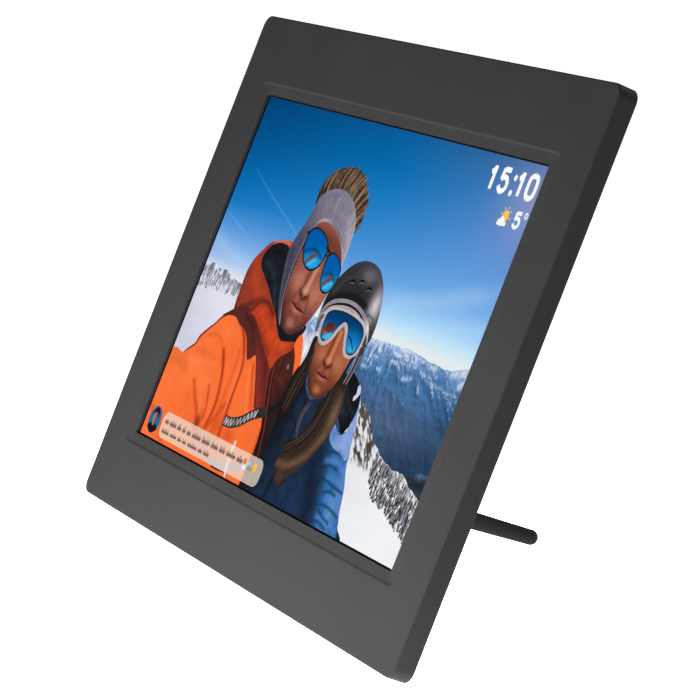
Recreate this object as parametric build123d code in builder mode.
from build123d import *
from math import acos, atan2, cos, degrees, hypot, radians, sin
import os

# A digital photo frame that leans back on a screwed-in rod. Sizes are in millimetres.
# Every sketch is placed by level(), a plane parallel to the front face: +x runs to the
# viewer's right, +y up the face, and depth is counted backwards from the front face.

# ---- driving dimensions ----------------------------------------------------------------

frame_width = 269.2
frame_height = 195.8
rim_depth = 7.1
corner_radius = 4.5
front_edge_radius = 0.6
back_edge_radius = 0.4
wall = 2.0

picture_width = 216.96
picture_height = 135.6
window_width = picture_width + 1.3
window_height = picture_height + 1.3
window_radius = 0.8
bevel_width = window_width + 11.0
bevel_height = window_height + 8.8
bevel_radius = 2.6
bevel_step = 0.3
bevel_slope = 0.9
ledge_width = bevel_width - 2 * bevel_slope
ledge_height = bevel_height - 2 * bevel_slope
lip_depth = 0.65
plate_depth = 1.7

gasket_thickness = 0.3
glass_thickness = 0.6
cell_thickness = 0.9
backlight_thickness = 1.0
tray_metal = 0.3
module_width = 229.5
module_height = 149.1

cover_front_depth = 5.7
cover_gap = 0.2
housing_width = 200.0
housing_height = 130.0
housing_y = -5.0
housing_depth = 20.1
housing_radius = 12.0
housing_edge_radius = 3.0
cover_wall = 2.0

board_width = 110.0
board_height = 70.0
board_x = -42.0
board_y = 12.0
board_depth = 8.0
board_thickness = 1.2

stand_height = 43.6
stand_rise = 3.1
stand_length = 94.0
stand_base_radius = 4.1
stand_tip_radius = 2.85
collar_height = 1.0
stud_radius = 3.0
stud_reach = 8.6
insert_bore_radius = 3.05
insert_radius = 4.2
insert_length = 9.0
washer_thickness = 1.0
washer_gap = 0.1

screw_radius = 1.0
pilot_radius = 1.05
recess_depth = 0.5

button_travel = 0.3
keyhole_head = 9.0
keyhole_slot = 4.5
keyhole_run = 9.0
pocket_inner_depth = 7.0

# ---- the lean: the rim's lower back edge and the rod's round tip share the floor --------

stand_y = -frame_height / 2 + stand_height
stand_depth = housing_depth + collar_height
tip_reach = stand_length - stand_tip_radius
tip_y = stand_y + tip_reach * sin(radians(stand_rise))
tip_depth = stand_depth + tip_reach * cos(radians(stand_rise))
heel_y = -frame_height / 2 + back_edge_radius
heel_depth = rim_depth - back_edge_radius
rise = heel_y - tip_y
run = tip_depth - heel_depth
lean = atan2(run, rise) - acos((back_edge_radius - stand_tip_radius) / hypot(rise, run))

heel_drop = -(heel_y * cos(lean) - heel_depth * sin(lean) - back_edge_radius)
toe_y = -frame_height / 2 + front_edge_radius
toe_front = toe_y * sin(lean) + front_edge_radius * cos(lean) - front_edge_radius
tip_back = tip_y * sin(lean) + tip_depth * cos(lean) + stand_tip_radius

panel = Plane(
    origin=(0, -(toe_front + tip_back) / 2, heel_drop),
    x_dir=(1, 0, 0),
    z_dir=(0, -cos(lean), sin(lean)),
)
forward = Axis(panel.origin, panel.z_dir)
print("lean in degrees", degrees(lean), "face centre", panel.origin)

os.makedirs("parts", exist_ok=True)


def level(depth, x=0.0, y=0.0):
    """A plane parallel to the front face, at a depth behind it, centred on (x, y)."""
    centre = panel.from_local_coords((x, y, -depth))
    return Plane(origin=centre, x_dir=panel.x_dir, z_dir=panel.z_dir)


def rear(depth, x=0.0, y=0.0):
    """The same plane as level(), turned to face backwards."""
    centre = panel.from_local_coords((x, y, -depth))
    return Plane(origin=centre, x_dir=panel.x_dir, z_dir=-panel.z_dir)


def turned(depth, x, y, turn):
    """The same plane as level(), with its own y turned anticlockwise by an angle."""
    centre = panel.from_local_coords((x, y, -depth))
    across = panel.x_dir * cos(radians(turn)) + panel.y_dir * sin(radians(turn))
    return Plane(origin=centre, x_dir=across, z_dir=panel.z_dir)


def sideways(x, y=0.0, depth=0.0):
    """A plane facing the viewer's right, whose x runs backwards and y runs up the face."""
    centre = panel.from_local_coords((x, y, -depth))
    return Plane(origin=centre, x_dir=-panel.z_dir, z_dir=panel.x_dir)


def save(part, name):
    """Label a finished piece and write it out."""
    part.label = name
    export_step(part, f"parts/{name}.step")


def screw(seat, head_radius, head_height, shank_length, countersunk):
    """A cross-recessed screw whose head stands on the outer side of its seat plane."""
    with BuildPart() as body:
        with BuildSketch(seat):
            Circle(screw_radius)
        extrude(amount=-shank_length)
        with BuildSketch(seat):
            Circle(screw_radius if countersunk else head_radius)
        with BuildSketch(seat.offset(head_height)):
            Circle(head_radius if countersunk else head_radius - 0.3)
        loft()
        with BuildSketch(seat.offset(head_height)):
            Rectangle(1.15 * head_radius, 0.45)
            Rectangle(0.45, 1.15 * head_radius)
        extrude(amount=-recess_depth, mode=Mode.SUBTRACT)
    return body.part


# ---- front bezel ------------------------------------------------------------------------

glass_depth = plate_depth + gasket_thickness
cell_depth = glass_depth + glass_thickness
backlight_depth = cell_depth + cell_thickness
tray_depth = backlight_depth + backlight_thickness
module_back = tray_depth + tray_metal

cover_points = [(x, y) for x in (-124, 124) for y in (-85, 0, 85)]
cover_points += [(x, y) for x in (-45, 45) for y in (-86, 86)]
bracket_points = [(x, y) for x in (-120, 120) for y in (-45, 45)]
rib_points = [(x, y) for x in (-116.4, 116.4) for y in (-22, 22, 64)]

with BuildPart() as front_bezel:
    with BuildSketch(level(0)):
        RectangleRounded(frame_width, frame_height, corner_radius)
    extrude(amount=-rim_depth)
    fillet(faces().sort_by(forward)[-1].edges(), front_edge_radius)
    fillet(faces().sort_by(forward)[0].edges(), back_edge_radius)
    with BuildSketch(level(plate_depth)):
        RectangleRounded(frame_width - 2 * wall, frame_height - 2 * wall, corner_radius - wall)
    extrude(amount=-rim_depth, mode=Mode.SUBTRACT)
    with BuildSketch(level(0)):
        RectangleRounded(bevel_width, bevel_height, bevel_radius)
    with BuildSketch(level(bevel_step)):
        RectangleRounded(ledge_width, ledge_height, bevel_radius - bevel_slope)
    loft(mode=Mode.SUBTRACT)
    with BuildSketch(level(bevel_step)):
        RectangleRounded(ledge_width, ledge_height, bevel_radius - bevel_slope)
    with BuildSketch(level(lip_depth)):
        RectangleRounded(window_width, window_height, window_radius)
    loft(mode=Mode.SUBTRACT)
    with BuildSketch(level(lip_depth)):
        RectangleRounded(window_width, window_height, window_radius)
    extrude(amount=-plate_depth, mode=Mode.SUBTRACT)
    with BuildSketch(level(plate_depth)):
        with Locations(*cover_points):
            Circle(2.7)
            Circle(pilot_radius, mode=Mode.SUBTRACT)
    extrude(amount=-(cover_front_depth - 0.1 - plate_depth))
    with BuildSketch(level(plate_depth)):
        with Locations(*bracket_points):
            Circle(2.5)
            Circle(pilot_radius, mode=Mode.SUBTRACT)
    extrude(amount=-(module_back - plate_depth))
    with BuildSketch(level(plate_depth)):
        with Locations(*rib_points):
            Rectangle(1.2, 14)
        with Locations((-80, 76.2), (80, 76.2), (-80, -76.2), (80, -76.2)):
            Rectangle(14, 1.2)
    extrude(amount=-2.3)
save(front_bezel.part, "front_bezel")

# ---- display module ---------------------------------------------------------------------

with BuildPart() as glass_gasket:
    with BuildSketch(level(plate_depth)):
        RectangleRounded(229.0, 148.6, 1.0)
        Rectangle(window_width + 2.0, window_height + 2.0, mode=Mode.SUBTRACT)
    extrude(amount=-gasket_thickness)
save(glass_gasket.part, "glass_gasket")

with BuildPart() as touch_glass:
    with BuildSketch(level(glass_depth)):
        RectangleRounded(module_width, module_height, 1.0)
    extrude(amount=-glass_thickness)
save(touch_glass.part, "touch_glass")

with BuildPart() as lcd_panel:
    with BuildSketch(level(cell_depth)):
        Rectangle(227.4, 147.0)
    extrude(amount=-cell_thickness)
save(lcd_panel.part, "lcd_panel")

with BuildPart() as backlight:
    with BuildSketch(level(backlight_depth)):
        Rectangle(228.2, 147.8)
    extrude(amount=-backlight_thickness)
save(backlight.part, "backlight")

with BuildPart() as lcd_tray:
    with BuildSketch(level(cell_depth)):
        RectangleRounded(module_width, module_height, 0.8)
    extrude(amount=-(module_back - cell_depth))
    with BuildSketch(level(cell_depth)):
        Rectangle(module_width - 2 * tray_metal, module_height - 2 * tray_metal)
    extrude(amount=-(tray_depth - cell_depth), mode=Mode.SUBTRACT)
save(lcd_tray.part, "lcd_tray")

bracket_metal = 0.7
bracket_back = module_back + bracket_metal

with BuildPart() as lcd_brackets:
    with BuildSketch(level(module_back)):
        with Locations(*[(x - 2.5 * (1 if x > 0 else -1), y) for x, y in bracket_points]):
            RectangleRounded(11.0, 10.0, 1.2)
    extrude(amount=-bracket_metal)
    for x, y in bracket_points:
        with BuildSketch(level(module_back, x, y)):
            Circle(screw_radius + 0.05)
        with BuildSketch(level(bracket_back, x, y)):
            Circle(1.95)
        loft(mode=Mode.SUBTRACT)
save(lcd_brackets.part, "lcd_brackets")

with BuildPart() as bracket_screws:
    for x, y in bracket_points:
        add(screw(rear(module_back, x, y), 1.88, bracket_metal, 2.4, True))
save(bracket_screws.part, "bracket_screws")

sheet_thickness = 0.2

with BuildPart() as insulation_sheet:
    with BuildSketch(level(module_back, board_x, 17.5)):
        RectangleRounded(118.0, 79.0, 3.0)
    extrude(amount=-sheet_thickness)
save(insulation_sheet.part, "insulation_sheet")

# ---- main board and what is soldered to it ----------------------------------------------

board_back = board_depth + board_thickness
board_points = [(board_x + x, board_y + y) for x in (-50, 50) for y in (-30, 30)]

with BuildPart() as main_board:
    with BuildSketch(level(board_depth, board_x, board_y)):
        RectangleRounded(board_width, board_height, 1.5)
    extrude(amount=-board_thickness)
    with BuildSketch(level(board_depth)):
        with Locations(*board_points):
            Circle(1.4)
    extrude(amount=-board_thickness, mode=Mode.SUBTRACT)
save(main_board.part, "main_board")


def chip(x, y, width, height, thickness):
    """A flat package on the back of the board, with its pin-one mark."""
    with BuildPart() as package:
        with BuildSketch(level(board_back, x, y)):
            Rectangle(width, height)
        extrude(amount=-thickness)
        chamfer(package.faces().sort_by(forward)[0].edges(), 0.15)
        with BuildSketch(level(board_back + thickness, x - width / 2 + 1.4, y + height / 2 - 1.4)):
            Circle(0.5)
        extrude(amount=0.1, mode=Mode.SUBTRACT)
    return package.part


processor_x, processor_y = -22.0, 10.0
processor_height = 1.2
save(chip(processor_x, processor_y, 15.0, 15.0, processor_height), "processor")

with BuildPart() as memory_chips:
    add(chip(0.0, 16.0, 9.0, 12.0, 1.0))
    add(chip(0.0, 1.0, 9.0, 12.0, 1.0))
    add(chip(-45.0, -10.0, 8.0, 6.0, 1.0))
save(memory_chips.part, "memory_chips")

sink_size = 21.0
sink_base = 1.2
fin_count = 7

with BuildPart() as heat_sink:
    with BuildSketch(level(board_back + processor_height, processor_x, processor_y)):
        Rectangle(sink_size, sink_size)
    extrude(amount=-sink_base)
    sink_back = board_back + processor_height + sink_base
    with BuildSketch(level(sink_back, processor_x, processor_y)):
        with GridLocations(sink_size / fin_count, 0, fin_count, 1):
            Rectangle(1.0, sink_size)
    extrude(amount=-3.6)
save(heat_sink.part, "heat_sink")

with BuildPart() as wifi_module:
    with BuildSketch(level(board_back, 0.0, 31.0)):
        RectangleRounded(13.0, 12.0, 0.5)
    extrude(amount=-2.2)
    fillet(wifi_module.faces().sort_by(forward)[0].edges(), 0.4)
save(wifi_module.part, "wifi_module")

with BuildPart() as power_coils:
    with BuildSketch(level(board_back)):
        with Locations((-78.0, 31.0), (-78.0, 40.0)):
            RectangleRounded(7.0, 7.0, 1.2)
    extrude(amount=-3.0)
    fillet(power_coils.faces().group_by(forward)[0].edges(), 0.5)
save(power_coils.part, "power_coils")

with BuildPart() as capacitors:
    with BuildSketch(level(board_back)):
        with Locations((-74.0, -17.0), (-64.0, -17.0), (-30.0, -13.0)):
            Circle(3.15)
    extrude(amount=-5.8)
    fillet(capacitors.faces().group_by(forward)[0].edges(), 0.5)
save(capacitors.part, "capacitors")

lead_radius = 0.55
plug_x, plug_y = 9.5, -8.0
coax_x, coax_y = -3.0, 42.5

with BuildPart() as board_connectors:
    with BuildSketch(level(board_back, plug_x, plug_y)):
        Rectangle(4.5, 7.0)
    extrude(amount=-3.4)
    with BuildSketch(level(board_back, coax_x, coax_y)):
        Rectangle(3.0, 3.0)
    extrude(amount=-1.3)
save(board_connectors.part, "board_connectors")

# ---- ribbon cables between the display module and the board's front --------------------

connector_height = 1.3
connector_y = -18.0
ribbon_thickness = 0.2
ribbon_start_y = -60.0
ribbons = {"display_cable": (-42.0, 20.0), "touch_cable": (-76.0, 8.0)}

for name, (x, width) in ribbons.items():
    lower = module_back + ribbon_thickness / 2
    upper = board_depth - connector_height / 2
    with BuildPart() as ribbon:
        with BuildLine(sideways(x)) as route:
            FilletPolyline(
                (lower, ribbon_start_y),
                (lower, -33.0),
                (upper, -26.0),
                (upper, connector_y - 2.5),
                radius=2.0,
            )
        start = Plane(origin=route.line @ 0, x_dir=panel.x_dir, z_dir=route.line % 0)
        with BuildSketch(start):
            Rectangle(width, ribbon_thickness)
        sweep(path=route.line)
    save(ribbon.part, name)

with BuildPart() as flex_connectors:
    for x, width in ribbons.values():
        with BuildSketch(level(board_depth - connector_height, x, connector_y)):
            Rectangle(width + 3.0, 5.0)
        extrude(amount=-connector_height)
save(flex_connectors.part, "flex_connectors")

# ---- sockets along the board's left edge ------------------------------------------------

socket_x = -97.6
jack_y, jack_height, jack_length = 32.0, 8.4, 13.5
jack_depth = board_back + jack_height / 2
usb_y, usb_width, usb_height, usb_length = 14.0, 9.0, 3.2, 7.4
usb_depth = board_back + usb_height / 2
card_y, card_width, card_height, card_length = -4.0, 14.0, 1.9, 15.0
card_depth = board_back + card_height / 2
jack_bore_radius = 3.1
jack_bore_length = 9.5
jack_pin_radius = 1.0

with BuildPart() as dc_jack:
    with BuildSketch(sideways(socket_x, jack_y, jack_depth)):
        Rectangle(jack_height, 9.0)
        Circle(jack_bore_radius, mode=Mode.SUBTRACT)
    extrude(amount=jack_bore_length)
    with BuildSketch(sideways(socket_x + jack_bore_length, jack_y, jack_depth)):
        Rectangle(jack_height, 9.0)
        Circle(jack_pin_radius, mode=Mode.SUBTRACT)
    extrude(amount=jack_length - jack_bore_length)
save(dc_jack.part, "dc_jack")

with BuildPart() as dc_pin:
    with BuildSketch(sideways(socket_x + 1.0, jack_y, jack_depth)):
        Circle(jack_pin_radius)
    extrude(amount=jack_length - 1.0)
    fillet(dc_pin.faces().sort_by(Axis.X)[0].edges(), 0.3)
save(dc_pin.part, "dc_pin")

with BuildPart() as usb_port:
    with BuildSketch(sideways(socket_x, usb_y, usb_depth)):
        RectangleRounded(usb_height, usb_width, 1.5)
        RectangleRounded(usb_height - 0.6, usb_width - 0.6, 1.2, mode=Mode.SUBTRACT)
    extrude(amount=usb_length)
save(usb_port.part, "usb_port")

with BuildPart() as usb_tongue:
    with BuildSketch(sideways(socket_x + usb_length - 1.2, usb_y, usb_depth)):
        RectangleRounded(usb_height - 0.6, usb_width - 0.6, 1.2)
    extrude(amount=1.2)
    with BuildSketch(sideways(socket_x + 1.2, usb_y, usb_depth)):
        Rectangle(0.7, 6.6)
    extrude(amount=usb_length - 2.4)
save(usb_tongue.part, "usb_tongue")

with BuildPart() as card_slot:
    with BuildSketch(sideways(socket_x, card_y, card_depth)):
        Rectangle(card_height, card_width)
        Rectangle(card_height - 0.6, card_width - 0.8, mode=Mode.SUBTRACT)
    extrude(amount=card_length)
    with BuildSketch(sideways(socket_x + card_length - 1.0, card_y, card_depth)):
        Rectangle(card_height, card_width)
    extrude(amount=1.0)
save(card_slot.part, "card_slot")

# ---- power switch and its button --------------------------------------------------------

button_x, button_y = -24.0, 37.0
button_radius = 4.5
cover_inner_depth = housing_depth - cover_wall
switch_height = 3.6
flange_depth = cover_inner_depth - 0.9
plunger_radius = 1.75

with BuildPart() as power_switch:
    with BuildSketch(level(board_back, button_x, button_y)):
        RectangleRounded(6.2, 6.2, 0.5)
    extrude(amount=-switch_height)
    with BuildSketch(level(board_back + 1.2, button_x, button_y)):
        Circle(plunger_radius + 0.08)
    extrude(amount=-switch_height, mode=Mode.SUBTRACT)
save(power_switch.part, "power_switch")

with BuildPart() as switch_plunger:
    with BuildSketch(level(board_back + 1.2 + button_travel + 0.2, button_x, button_y)):
        Circle(plunger_radius)
    extrude(amount=-(flange_depth - board_back - 1.4 - button_travel))
save(switch_plunger.part, "switch_plunger")

with BuildPart() as power_button:
    with BuildSketch(level(flange_depth, button_x, button_y)):
        Circle(button_radius + 1.3)
    extrude(amount=-0.6)
    with BuildSketch(level(flange_depth, button_x, button_y)):
        Circle(button_radius)
    extrude(amount=-(housing_depth + 0.8 - flange_depth))
    fillet(power_button.faces().sort_by(forward)[0].edges(), 0.5)
    with BuildSketch(level(housing_depth + 0.8, button_x, button_y)):
        Circle(2.6)
        Circle(2.1, mode=Mode.SUBTRACT)
    extrude(amount=0.2, mode=Mode.SUBTRACT)
save(power_button.part, "power_button")

# ---- speaker ----------------------------------------------------------------------------

speaker_x, speaker_y = 50.0, -6.0
speaker_radius = 14.0
ear_offset = 18.0
gasket_height = 0.8
speaker_back = cover_inner_depth - gasket_height
speaker_flange = 1.0
speaker_points = [(speaker_x - ear_offset, speaker_y), (speaker_x + ear_offset, speaker_y)]
basket_top = speaker_back - 4.4

with BuildPart() as speaker_gasket:
    with BuildSketch(level(speaker_back, speaker_x, speaker_y)):
        Circle(speaker_radius)
        Circle(speaker_radius - 1.8, mode=Mode.SUBTRACT)
    extrude(amount=-gasket_height)
save(speaker_gasket.part, "speaker_gasket")

with BuildPart() as speaker_frame:
    with BuildSketch(level(speaker_back - speaker_flange, speaker_x, speaker_y)):
        Circle(speaker_radius)
        SlotCenterToCenter(2 * ear_offset, 5.6)
        Circle(speaker_radius - 1.8, mode=Mode.SUBTRACT)
        with Locations((-ear_offset, 0), (ear_offset, 0)):
            Circle(pilot_radius + 0.1, mode=Mode.SUBTRACT)
    extrude(amount=-speaker_flange)
    with BuildSketch(level(speaker_back - speaker_flange, speaker_x, speaker_y)):
        Circle(speaker_radius - 0.6)
        Circle(speaker_radius - 1.8, mode=Mode.SUBTRACT)
    with BuildSketch(level(basket_top, speaker_x, speaker_y)):
        Circle(9.0)
        Circle(7.8, mode=Mode.SUBTRACT)
    loft()
    with BuildSketch(level(basket_top - 0.8, speaker_x, speaker_y)):
        Circle(9.0)
    extrude(amount=-0.8)
save(speaker_frame.part, "speaker_frame")

with BuildPart() as speaker_magnet:
    with BuildSketch(level(basket_top - 0.8, speaker_x, speaker_y)):
        Circle(8.5)
    extrude(amount=3.0)
    fillet(speaker_magnet.faces().sort_by(forward)[-1].edges(), 0.4)
save(speaker_magnet.part, "speaker_magnet")

with BuildPart() as speaker_cone:
    cone_plane = Plane(
        origin=level(speaker_back, speaker_x, speaker_y).origin,
        x_dir=panel.x_dir,
        z_dir=panel.y_dir,
    )
    with BuildSketch(cone_plane):
        with BuildLine():
            Polyline((0, -1.6), (2.6, -2.0), (4.6, -2.9), (11.9, -0.4))
            Polyline((11.9, -0.4), (11.9, -0.9), (4.6, -3.4), (2.6, -2.5), (0, -2.1), (0, -1.6))
        make_face()
    revolve(axis=Axis(cone_plane.origin, panel.z_dir))
save(speaker_cone.part, "speaker_cone")

with BuildPart() as speaker_screws:
    for x, y in speaker_points:
        add(screw(level(speaker_back - speaker_flange, x, y), 1.9, 1.1, 2.9, False))
save(speaker_screws.part, "speaker_screws")


def lead(points, radius, bend):
    """A thin lead along a route of (x, y, depth) points with rounded bends."""
    with BuildPart() as wire:
        with BuildLine() as route:
            FilletPolyline(*[panel.from_local_coords((x, y, -d)) for x, y, d in points], radius=bend)
        with BuildSketch(Plane(origin=route.line @ 0, z_dir=route.line % 0)):
            Circle(radius)
        sweep(path=route.line)
    return wire.part


with BuildPart() as speaker_leads:
    for offset in (-1.3, 1.3):
        add(
            lead(
                [
                    (plug_x + 2.25, plug_y + offset, board_back + 2.0),
                    (plug_x + 9.0, plug_y + offset, board_back + 2.0),
                    (plug_x + 19.0, speaker_y + offset, board_back + 2.6),
                    (speaker_x - 9.3, speaker_y + offset, basket_top - 0.3),
                ],
                lead_radius,
                2.5,
            )
        )
save(speaker_leads.part, "speaker_leads")

antenna_x, antenna_y = 82.0, 50.0
antenna_thickness = 0.2

with BuildPart() as wifi_antenna:
    with BuildSketch(level(cover_inner_depth - antenna_thickness, antenna_x, antenna_y)):
        RectangleRounded(24.0, 8.0, 1.0)
    extrude(amount=-antenna_thickness)
save(wifi_antenna.part, "wifi_antenna")

with BuildPart() as antenna_lead:
    add(
        lead(
            [
                (coax_x, coax_y + 1.6, board_back + 0.75),
                (coax_x + 1.0, 52.0, board_back + 0.75),
                (20.0, 54.8, board_back + 1.6),
                (46.0, 55.4, 12.4),
                (66.0, 55.0, 15.0),
                (76.0, 51.0, cover_inner_depth - antenna_thickness - 0.56),
                (82.0, 50.0, cover_inner_depth - antenna_thickness - 0.56),
            ],
            lead_radius,
            2.4,
        )
    )
save(antenna_lead.part, "antenna_lead")

# ---- back cover -------------------------------------------------------------------------

cover_width = frame_width - 2 * wall - 2 * cover_gap
cover_height = frame_height - 2 * wall - 2 * cover_gap
mouth_width = housing_width - 2 * cover_wall
mouth_height = housing_height - 2 * cover_wall
mouth_radius = housing_radius - cover_wall
portrait_x = frame_width / 2 - stand_height
boss_radius = 8.0
boss_length = insert_length + 1.6
insert_sink = 0.4
rib_depth = 11.0

outward = panel.y_dir * sin(radians(stand_rise)) - panel.z_dir * cos(radians(stand_rise))
stand_plane = Plane(
    origin=panel.from_local_coords((0, stand_y, -stand_depth)),
    x_dir=panel.x_dir,
    z_dir=outward,
)
sidelong = -panel.x_dir * sin(radians(stand_rise)) - panel.z_dir * cos(radians(stand_rise))
portrait_plane = Plane(
    origin=panel.from_local_coords((portrait_x, 0, -stand_depth)),
    x_dir=panel.y_dir,
    z_dir=sidelong,
)
socket_planes = (stand_plane, portrait_plane)

# Each keyhole is (entry x, entry y, turn of its slot from straight up).
keyholes = [(-60.0, 38.0, 0), (60.0, 38.0, 0), (-62.0, 0.0, 90)]
pocket_width, pocket_height, pocket_wall = 15.0, 21.0, 1.2
pocket_shift = 3.0
vent_rows = [(20.0, 38.0, 13), (-46.0, -42.0, 13), (46.0, -42.0, 13)]


with BuildPart() as back_cover:
    with BuildSketch(level(cover_front_depth)):
        RectangleRounded(cover_width, cover_height, corner_radius - wall)
        with Locations((0, housing_y)):
            RectangleRounded(mouth_width, mouth_height, mouth_radius, mode=Mode.SUBTRACT)
    extrude(amount=-(rim_depth - cover_front_depth))

    # countersunk holes for the cover's screws
    for x, y in cover_points:
        with BuildSketch(level(cover_front_depth, x, y)):
            Circle(screw_radius + 0.2)
        extrude(amount=-rim_depth, mode=Mode.SUBTRACT)
        with BuildSketch(level(rim_depth - 1.1, x, y)):
            Circle(screw_radius + 0.2)
        with BuildSketch(level(rim_depth, x, y)):
            Circle(2.25)
        loft(mode=Mode.SUBTRACT)
save(back_cover.part, "back_cover")

# ---- rear housing, welded to the back cover round its mouth -------------------------------

with BuildPart() as rear_housing:
    with BuildSketch(level(rim_depth, 0, housing_y)):
        RectangleRounded(housing_width, housing_height, housing_radius)
    extrude(amount=-(housing_depth - rim_depth))
    fillet(rear_housing.faces().sort_by(forward)[0].edges(), housing_edge_radius)
    with BuildSketch(level(rim_depth, 0, housing_y)):
        RectangleRounded(mouth_width, mouth_height, mouth_radius)
    extrude(amount=-(cover_inner_depth - rim_depth), mode=Mode.SUBTRACT)

    # keyhole pockets
    for x, y, turn in keyholes:
        with BuildSketch(turned(cover_inner_depth, x, y, turn)):
            with Locations((0, pocket_shift)):
                RectangleRounded(pocket_width + 2 * pocket_wall, pocket_height + 2 * pocket_wall, 2.2)
        extrude(amount=pocket_inner_depth + pocket_wall)
    for x, y, turn in keyholes:
        with BuildSketch(turned(cover_inner_depth, x, y, turn)):
            with Locations((0, pocket_shift)):
                RectangleRounded(pocket_width, pocket_height, 1.0)
        extrude(amount=pocket_inner_depth, mode=Mode.SUBTRACT)
        with BuildSketch(turned(housing_depth, x, y, turn)):
            Circle(keyhole_head / 2)
            with Locations((0, keyhole_run / 2)):
                SlotCenterToCenter(keyhole_run, keyhole_slot, rotation=90)
        extrude(amount=cover_wall + 0.5, mode=Mode.SUBTRACT)

    # posts for the board and the speaker
    with BuildSketch(level(cover_inner_depth)):
        with Locations(*board_points):
            Circle(3.0)
    extrude(amount=cover_inner_depth - board_back)
    with BuildSketch(level(board_back)):
        with Locations(*board_points):
            Circle(pilot_radius)
    extrude(amount=-6.0, mode=Mode.SUBTRACT)
    with BuildSketch(level(cover_inner_depth)):
        with Locations(*speaker_points):
            Circle(2.6)
    extrude(amount=gasket_height)
    with BuildSketch(level(speaker_back)):
        with Locations(*speaker_points):
            Circle(pilot_radius)
    extrude(amount=-2.1, mode=Mode.SUBTRACT)

    # ribbed bosses with a low collar outside, which hold the two threaded inserts
    with BuildSketch(level(rib_depth)):
        with Locations((0, stand_y)):
            Rectangle(1.6, 27.0)
            Rectangle(36.0, 1.6)
        with Locations((portrait_x, 0)):
            Rectangle(1.6, 36.0)
    extrude(amount=-(cover_inner_depth - rib_depth))
    for socket in socket_planes:
        with BuildSketch(socket):
            Circle(boss_radius)
        extrude(amount=-boss_length)
        chamfer(rear_housing.edges().sort_by_distance(socket.origin)[0], 0.4)
    for socket in socket_planes:
        with BuildSketch(socket):
            Circle(insert_bore_radius + 0.25)
        extrude(amount=-boss_length, mode=Mode.SUBTRACT)
        with BuildSketch(socket.offset(-insert_sink)):
            Circle(insert_radius)
        extrude(amount=-insert_length, mode=Mode.SUBTRACT)

    # ventilation slots and the speaker's grille
    for x, y, count in vent_rows:
        with BuildSketch(level(housing_depth, x, y)):
            with GridLocations(4.0, 0, count, 1):
                SlotOverall(15.0, 1.8, rotation=90)
        extrude(amount=cover_wall + 0.5, mode=Mode.SUBTRACT)
    with BuildSketch(level(housing_depth, speaker_x, speaker_y)):
        Circle(0.9)
        for ring in range(1, 5):
            with PolarLocations(2.6 * ring, 6 * ring):
                Circle(0.9)
    extrude(amount=cover_wall + 0.5, mode=Mode.SUBTRACT)

    # button hole, and seats for the two wall bumpers
    with BuildSketch(level(housing_depth, button_x, button_y)):
        Circle(button_radius + 0.25)
    extrude(amount=cover_wall + 0.5, mode=Mode.SUBTRACT)
    with BuildSketch(level(housing_depth)):
        with Locations((-84.0, -56.0), (84.0, -56.0)):
            Circle(5.1)
    extrude(amount=0.5, mode=Mode.SUBTRACT)

    # socket openings in the housing's left wall
    with BuildSketch(sideways(-housing_width / 2, jack_y, jack_depth)):
        Circle(4.2)
    extrude(amount=cover_wall + 0.5, mode=Mode.SUBTRACT)
    with BuildSketch(sideways(-housing_width / 2, usb_y, usb_depth)):
        RectangleRounded(usb_height + 1.0, usb_width + 1.2, 1.6)
    extrude(amount=cover_wall + 0.5, mode=Mode.SUBTRACT)
    with BuildSketch(sideways(-housing_width / 2, card_y, card_depth)):
        RectangleRounded(card_height + 0.6, card_width - 0.4, 0.6)
    extrude(amount=cover_wall + 0.5, mode=Mode.SUBTRACT)
save(rear_housing.part, "rear_housing")

with BuildPart() as cover_screws:
    for x, y in cover_points:
        add(screw(rear(rim_depth - 1.1, x, y), 2.0, 1.0, 4.0, True))
save(cover_screws.part, "cover_screws")

with BuildPart() as board_screws:
    for x, y in board_points:
        add(screw(level(board_depth, x, y), 2.2, 1.2, 6.0, False))
save(board_screws.part, "board_screws")

with BuildPart() as wall_bumpers:
    with BuildSketch(level(housing_depth - 0.5)):
        with Locations((-84.0, -56.0), (84.0, -56.0)):
            Circle(5.0)
    extrude(amount=-2.0)
    fillet(wall_bumpers.faces().group_by(forward)[0].edges(), 0.8)
save(wall_bumpers.part, "wall_bumpers")

# ---- threaded inserts and the stand ------------------------------------------------------

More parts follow.
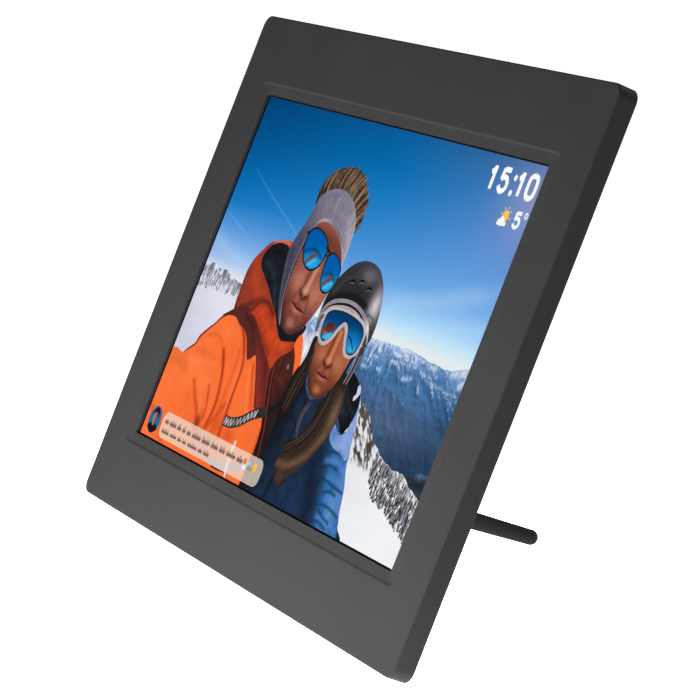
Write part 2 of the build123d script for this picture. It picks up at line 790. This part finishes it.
for name, socket in (("stand_insert", stand_plane), ("portrait_insert", portrait_plane)):
    with BuildPart() as insert:
        with BuildSketch(socket.offset(-insert_sink)):
            Circle(insert_radius)
            Circle(insert_bore_radius, mode=Mode.SUBTRACT)
        extrude(amount=-insert_length)
        with BuildSketch(socket.offset(-insert_length / 2)):
            Circle(insert_radius)
            Circle(insert_radius - 0.35, mode=Mode.SUBTRACT)
        extrude(amount=-0.8, mode=Mode.SUBTRACT)
    save(insert.part, name)

with BuildPart() as stand_washer:
    with BuildSketch(stand_plane.offset(washer_gap)):
        Circle(6.6)
        Circle(stud_radius + 0.2, mode=Mode.SUBTRACT)
    extrude(amount=washer_thickness)
    fillet(stand_washer.edges().filter_by(GeomType.CIRCLE).group_by(SortBy.RADIUS)[-1], 0.25)
save(stand_washer.part, "stand_washer")

rod_start = washer_gap + washer_thickness + 0.05
stud_depth_in_rod = 12.0

with BuildPart() as stand_stud:
    with BuildSketch(stand_plane.offset(rod_start + stud_depth_in_rod)):
        Circle(stud_radius)
    extrude(amount=-(rod_start + stud_depth_in_rod + stud_reach))
    chamfer(stand_stud.faces().sort_by(Axis(stand_plane.origin, outward))[0].edges(), 0.5)
save(stand_stud.part, "stand_stud")

with BuildPart() as stand_rod:
    rod_profile = Plane(
        origin=stand_plane.origin,
        x_dir=panel.x_dir,
        z_dir=panel.x_dir.cross(outward),
    )
    with BuildSketch(rod_profile):
        with BuildLine():
            base = Polyline((0, rod_start), (5.4, rod_start), (5.4, rod_start + 2.4))
            shoulder = Line(base @ 1, (stand_base_radius, rod_start + 4.0))
            shaft = Line(shoulder @ 1, (stand_tip_radius, tip_reach))
            RadiusArc(shaft @ 1, (0, stand_length), -stand_tip_radius)
            Line((0, stand_length), (0, rod_start))
        make_face()
    revolve(axis=Axis(stand_plane.origin, outward))
    with BuildSketch(stand_plane.offset(rod_start)):
        Circle(stud_radius)
    extrude(amount=stud_depth_in_rod, mode=Mode.SUBTRACT)
    base_rim = stand_rod.faces().sort_by(Axis(stand_plane.origin, outward))[0]
    fillet(base_rim.edges().sort_by(SortBy.RADIUS)[-1], 0.4)
save(stand_rod.part, "stand_rod")
